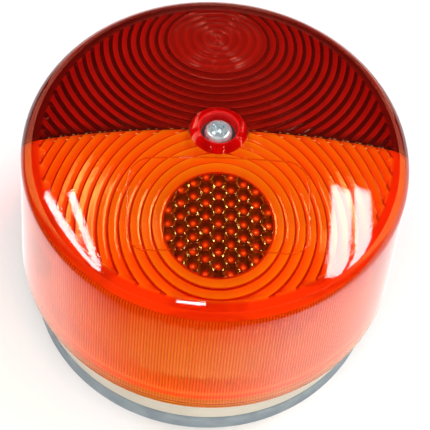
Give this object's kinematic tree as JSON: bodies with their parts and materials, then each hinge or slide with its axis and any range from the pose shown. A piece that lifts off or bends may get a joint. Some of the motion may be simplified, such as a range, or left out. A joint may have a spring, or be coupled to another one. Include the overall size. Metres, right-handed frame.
{
  "type": "round combination signal lamp",
  "caption": "Round signal lamp for road equipment: a deep red and amber drum lens on an ivory housing with a grey gasket, central lens screw and bayonet bulbs.",
  "frame": {"origin": "centre of the mounting gasket's underside, on the lens axis", "axes": "+Z out of the lens along its axis, +Y towards the red half, -Y towards the amber half"},
  "size_m": [0.12, 0.12, 0.0836],
  "materials": {
    "red_acrylic": "polished transparent signal-red acrylic, rings and flutes moulded inside",
    "amber_acrylic": "polished transparent amber acrylic, rings and flutes moulded inside",
    "ivory_plastic": "moulded, satin",
    "grey_rubber": "matt",
    "black_rubber": "matt",
    "zinc_steel": "bright zinc plated",
    "spring_steel": "drawn wire",
    "brass": "stamped, lightly tarnished",
    "white_paint": "gloss white paint",
    "insulating_board": "laminated paper board",
    "black_glass": "moulded vitrite",
    "solder": "soft solder",
    "clear_glass": "clear blown glass",
    "tungsten": "drawn wire on a glass stem"
  },
  "bodies": {
    "housing": {"housing": "ivory_plastic", "threaded_insert": "brass", "lens_gasket": "black_rubber", "mounting_gasket": "grey_rubber", "cable_grommet": "black_rubber", "chamber_divider": "ivory_plastic", "reflector_plate": "white_paint", "plate_screws": "zinc_steel", "plate_rivets": "zinc_steel", "earth_terminal": "brass", "indicator_terminal": "brass", "stop_terminal": "brass", "tail_terminal": "brass", "amber_holder": "zinc_steel", "amber_holder_base": "insulating_board", "amber_contact_spring": "spring_steel", "red_holder": "zinc_steel", "red_holder_base": "insulating_board", "red_contact_spring": "spring_steel"},
    "lens": {"lens_red": "red_acrylic", "lens_amber": "amber_acrylic", "screw_seal": "black_rubber"},
    "screw_clip": {"screw_retaining_clip": "zinc_steel"},
    "lens_screw": {"lens_screw": "zinc_steel"},
    "amber_plunger": {"amber_plunger_disc": "insulating_board", "amber_plunger_contacts": "brass"},
    "amber_bulb": {"amber_bulb_cap": "brass", "amber_bulb_insulator": "black_glass", "amber_bulb_contacts": "solder", "amber_bulb_glass": "clear_glass", "amber_bulb_filament": "tungsten"},
    "red_plunger": {"red_plunger_disc": "insulating_board", "red_plunger_contacts": "brass"},
    "red_bulb": {"red_bulb_cap": "brass", "red_bulb_insulator": "black_glass", "red_bulb_contacts": "solder", "red_bulb_glass": "clear_glass", "red_bulb_filament": "tungsten"}
  },
  "joints": [
    {"name": "lens_lift", "type": "slide", "parent": "housing", "child": "lens", "axis": [0, 0, 1], "range_m": [0, 0.07]},
    {"name": "screw_travel", "type": "slide", "parent": "lens", "child": "screw_clip", "axis": [0, 0, 1], "range_m": [0, 0.0085]},
    {"name": "screw_turn", "type": "hinge", "parent": "screw_clip", "child": "lens_screw", "pos_m": [0, 0, 0.0801], "axis": [0, 0, 1], "range_deg": [0, 4371]},
    {"name": "amber_bulb_push", "type": "slide", "parent": "housing", "child": "amber_plunger", "axis": [0, 0, 1], "range_m": [-0.0025, 0], "stiffness_N_per_m": 3000, "springref_m": 0.003, "deforming": ["amber_contact_spring"]},
    {"name": "amber_bulb_twist", "type": "hinge", "parent": "amber_plunger", "child": "amber_bulb", "pos_m": [0, -0.03, 0.0226], "axis": [0, 0, 1], "range_deg": [0, 25]},
    {"name": "red_bulb_push", "type": "slide", "parent": "housing", "child": "red_plunger", "axis": [0, 0, 1], "range_m": [-0.0025, 0], "stiffness_N_per_m": 3000, "springref_m": 0.003, "deforming": ["red_contact_spring"]},
    {"name": "red_bulb_twist", "type": "hinge", "parent": "red_plunger", "child": "red_bulb", "pos_m": [0, 0.03, 0.0226], "axis": [0, 0, 1], "range_deg": [0, 25]}
  ],
  "couplings": [
    {"joint": "screw_turn", "follows": "screw_travel", "rad_per_m": 8976}
  ]
}
